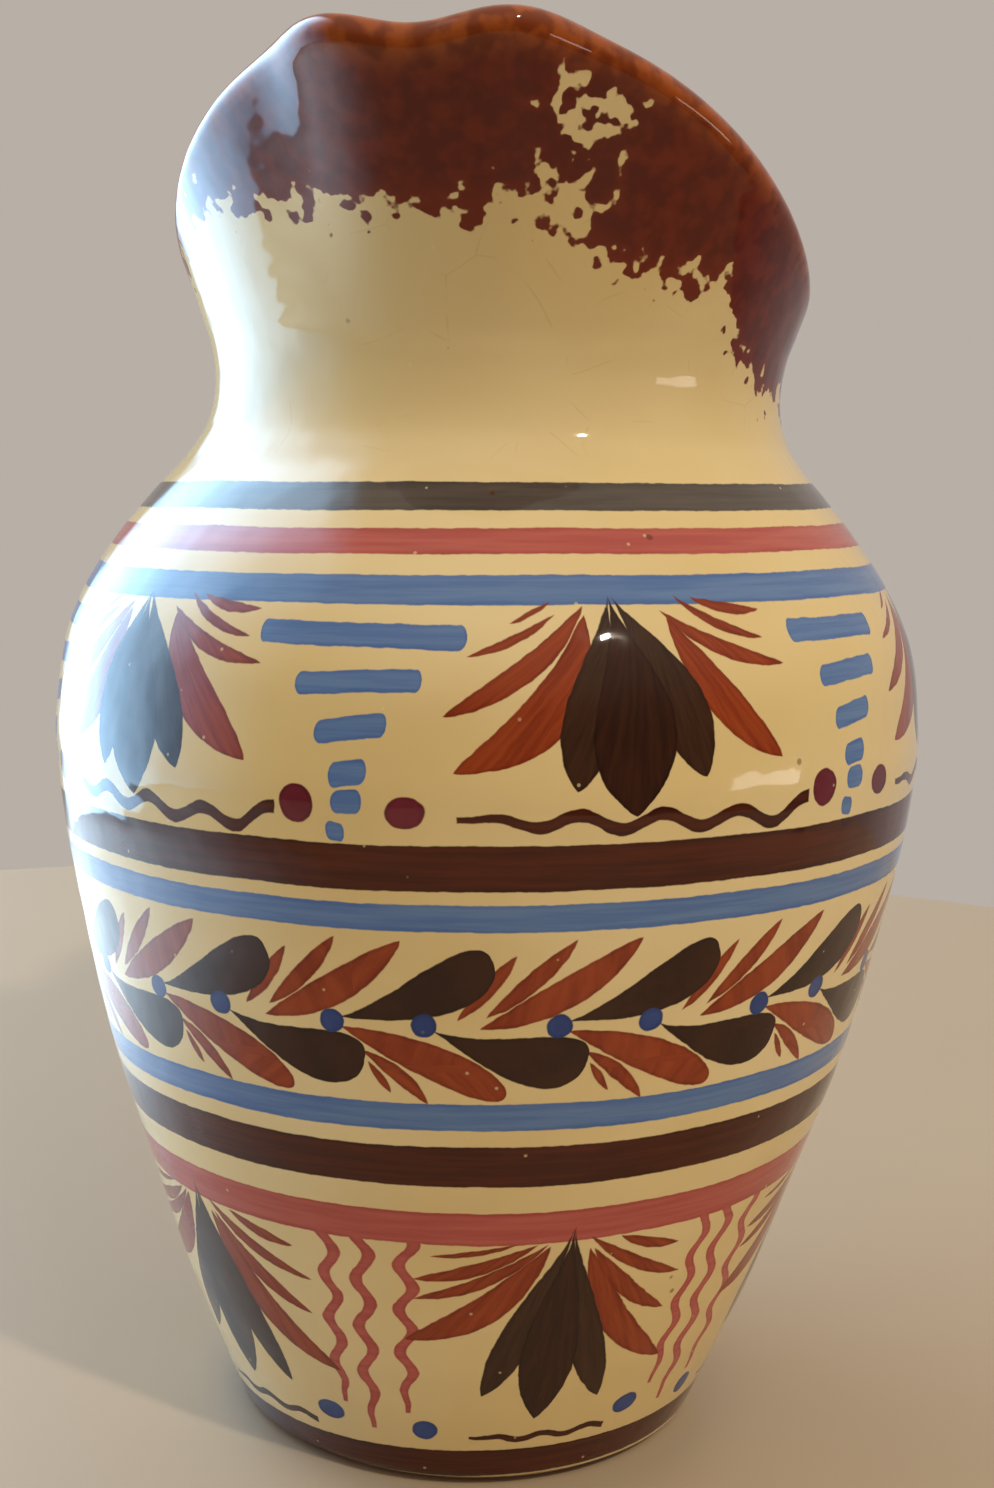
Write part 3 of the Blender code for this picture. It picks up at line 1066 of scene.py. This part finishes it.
seed_mesh = bpy.data.meshes.new("clay_seed")
seed = bpy.data.objects.new("clay", seed_mesh)
bpy.context.scene.collection.objects.link(seed)
throw = seed.modifiers.new("throw", "NODES")
throw.node_group = shape.tree
for label, number in NAMED_SIZES.items():
    throw[shape_keys[label]] = number
graph = bpy.context.evaluated_depsgraph_get()
jug_mesh = bpy.data.meshes.new_from_object(seed.evaluated_get(graph), depsgraph=graph)
bpy.data.objects.remove(seed)
jug = bpy.data.objects.new("painted_jug", jug_mesh)
bpy.context.scene.collection.objects.link(jug)
jug_mesh.calc_loop_triangles()
print("jug triangles", len(jug_mesh.loop_triangles), "materials", [m.name for m in jug_mesh.materials])

# %% Put the jug in the frame
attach(jug, "root")
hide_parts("jug")
print("jug rides on root")

# %% [markdown]
# ## Floor, light and camera
#
# The jug stands on a plain pale floor. A tall soft box on the left lights that side, and a wider
# panel behind it shows only in the glaze, as the long cool reflection that fades towards the front.
# One strong box could do both, but it would wash the colours out. A low panel brightens the
# reflection of the floor. On the right a small warm lamp and a low flat box give the small
# highlights. The camera looks slightly down from close by, a little to the right of the spout.

# %% Floor
FLOOR_RADIUS = 0.34
FLOOR_DROP = 0.0004
FLOOR_SIDES = 96
floor_mesh = bpy.data.meshes.new("floor")
floor_turns = [2 * math.pi * i / FLOOR_SIDES for i in range(FLOOR_SIDES)]
ring = [(FLOOR_RADIUS * math.cos(turn), FLOOR_RADIUS * math.sin(turn), -FLOOR_DROP)
        for turn in floor_turns]
floor_mesh.from_pydata(ring, [], [list(range(FLOOR_SIDES))])
floor = bpy.data.objects.new("floor", floor_mesh)
bpy.context.scene.collection.objects.link(floor)
pale = bpy.data.materials.new("pale_floor")
pale.use_nodes = True
pale.node_tree.nodes.clear()
plain = Bench(pale.node_tree)
floor_place = plain.node("ShaderNodeTexCoord", output="Object")
floor_tone = plain.noise(floor_place, 6.0, 3.0)
floor_shader = plain.node("ShaderNodeBsdfPrincipled", None, {
    "Base Color": plain.mix(floor_tone, pot(186, 170, 148), pot(176, 158, 134)), "Roughness": 0.5,
})
plain.node("ShaderNodeOutputMaterial", None, {"Surface": floor_shader})
floor_mesh.materials.append(pale)
print("floor radius in m", FLOOR_RADIUS)

# %% Camera
CAMERA_TURN = math.radians(8.15)
CAMERA_DISTANCE = 0.2552
CAMERA_HEIGHT = 0.12771
CAMERA_YAW = 0.005239
CAMERA_PITCH = 0.148977
CAMERA_ROLL = 0.036047
CAMERA_LENS = 46.19


def beside_camera(x, y, z):
    """A place given from the jug's middle with the camera straight in front, along -Y."""
    return Matrix.Rotation(CAMERA_TURN, 3, "Z") @ Vector((x, y, z))


forward = Vector((math.sin(CAMERA_YAW) * math.cos(CAMERA_PITCH),
                  math.cos(CAMERA_YAW) * math.cos(CAMERA_PITCH), -math.sin(CAMERA_PITCH)))
level_right = Vector((math.cos(CAMERA_YAW), -math.sin(CAMERA_YAW), 0.0))
level_up = level_right.cross(forward)
right = level_right * math.cos(CAMERA_ROLL) + level_up * math.sin(CAMERA_ROLL)
up = level_up * math.cos(CAMERA_ROLL) - level_right * math.sin(CAMERA_ROLL)
turned = [Matrix.Rotation(CAMERA_TURN, 3, "Z") @ v for v in (right, up, -forward)]
lens = bpy.data.cameras.new("camera")
lens.lens = CAMERA_LENS
lens.sensor_width = 36.0
lens.clip_start = 0.01
camera = bpy.data.objects.new("camera", lens)
bpy.context.scene.collection.objects.link(camera)
camera_place = Matrix.Translation(beside_camera(0.0, -CAMERA_DISTANCE, CAMERA_HEIGHT))
camera.matrix_world = camera_place @ Matrix(turned).transposed().to_4x4()
bpy.context.scene.camera = camera
print("camera at", [round(v, 4) for v in camera.location])

# %% Lights


def soft_light(name, spot, target, width, tall, power, tint):
    """A rectangular soft box at a spot beside the camera, aimed at a target."""
    lamp = bpy.data.lights.new(name, "AREA")
    lamp.shape = "RECTANGLE"
    lamp.size = width
    lamp.size_y = tall
    lamp.energy = power
    lamp.color = tint
    item = bpy.data.objects.new(name, lamp)
    item.location = beside_camera(*spot)
    aim = beside_camera(*target) - item.location
    item.rotation_euler = aim.to_track_quat("-Z", "Y").to_euler()
    item.visible_camera = False
    bpy.context.scene.collection.objects.link(item)
    return item


def fade_edges(lamp, near, far, low, high):
    """Lets a soft box fade towards its edges, by the share of its width and height that fades."""
    lamp.use_nodes = True
    lamp.node_tree.nodes.clear()
    glow = Bench(lamp.node_tree)
    u, v, _ = glow.parts(glow.node("ShaderNodeNewGeometry", output="Parametric"))
    strength = u.step(0.0, near) * u.step(1.0, 1.0 - far) * v.step(0.0, low) * v.step(1.0, 1.0 - high)
    glow.node("ShaderNodeOutputLight", None,
              {"Surface": glow.node("ShaderNodeEmission", None, {"Strength": strength})})


COOL = (0.62, 0.82, 1.0)
COOL_GLOSS = (0.34, 0.66, 1.0)
WARM = (1.0, 0.88, 0.70)
SIDE_Y = 0.55
SIDE_Z = 0.60
SIDE_TALL = 1.80
GLOSS_Y = 0.34
side_box = soft_light("side_box", (-0.60, SIDE_Y, SIDE_Z), (0.0, SIDE_Y, SIDE_Z),
                      1.30, SIDE_TALL, 16.0, COOL)
fade_edges(side_box.data, 0.5, 0.12, 0.08, 0.3)
side_gloss = soft_light("side_gloss", (-0.62, GLOSS_Y, SIDE_Z), (0.0, GLOSS_Y, SIDE_Z),
                        1.72, SIDE_TALL, 98.0, COOL_GLOSS)
fade_edges(side_gloss.data, 0.38, 0.60, 0.14, 0.3)
side_gloss.visible_diffuse = False
low_gloss = soft_light("low_gloss", (-0.21, 0.08, 0.002), (-0.21, 0.08, 1.0),
                       0.30, 0.56, 1.6, COOL)
fade_edges(low_gloss.data, 0.4, 0.4, 0.4, 0.4)
soft_light("far_right", (0.79, -0.256, 0.04), (0.03, -0.04, 0.10), 0.30, 0.08, 0.36, (1.0, 0.95, 0.90))
soft_light("lamp", (0.58, -0.80, 1.0), (0.0, 0.0, 0.10), 0.06, 0.06, 6.7, WARM)

world = bpy.data.worlds.new("studio")
world.use_nodes = True
world.node_tree.nodes.clear()
dome = Bench(world.node_tree)
_, look_back, look_up = dome.parts(dome.node("ShaderNodeTexCoord", output="Generated"))
around_it = dome.mix(look_back.step(-0.1, 0.7), (0.12, 0.10, 0.085, 1.0), (0.46, 0.42, 0.40, 1.0))
dome_light = dome.mix(look_up.step(0.0, 1.0), around_it, (0.85, 0.74, 0.62, 1.0))
seen = dome.mix(dome.node("ShaderNodeLightPath", output="Is Camera Ray"), dome_light, pot(184, 175, 166))
glow = dome.node("ShaderNodeBackground", None, {"Color": seen, "Strength": 1.0})
dome.node("ShaderNodeOutputWorld", None, {"Surface": glow})
bpy.context.scene.world = world
bpy.context.scene.view_settings.view_transform = "Standard"
print("lights", len(bpy.data.lights))
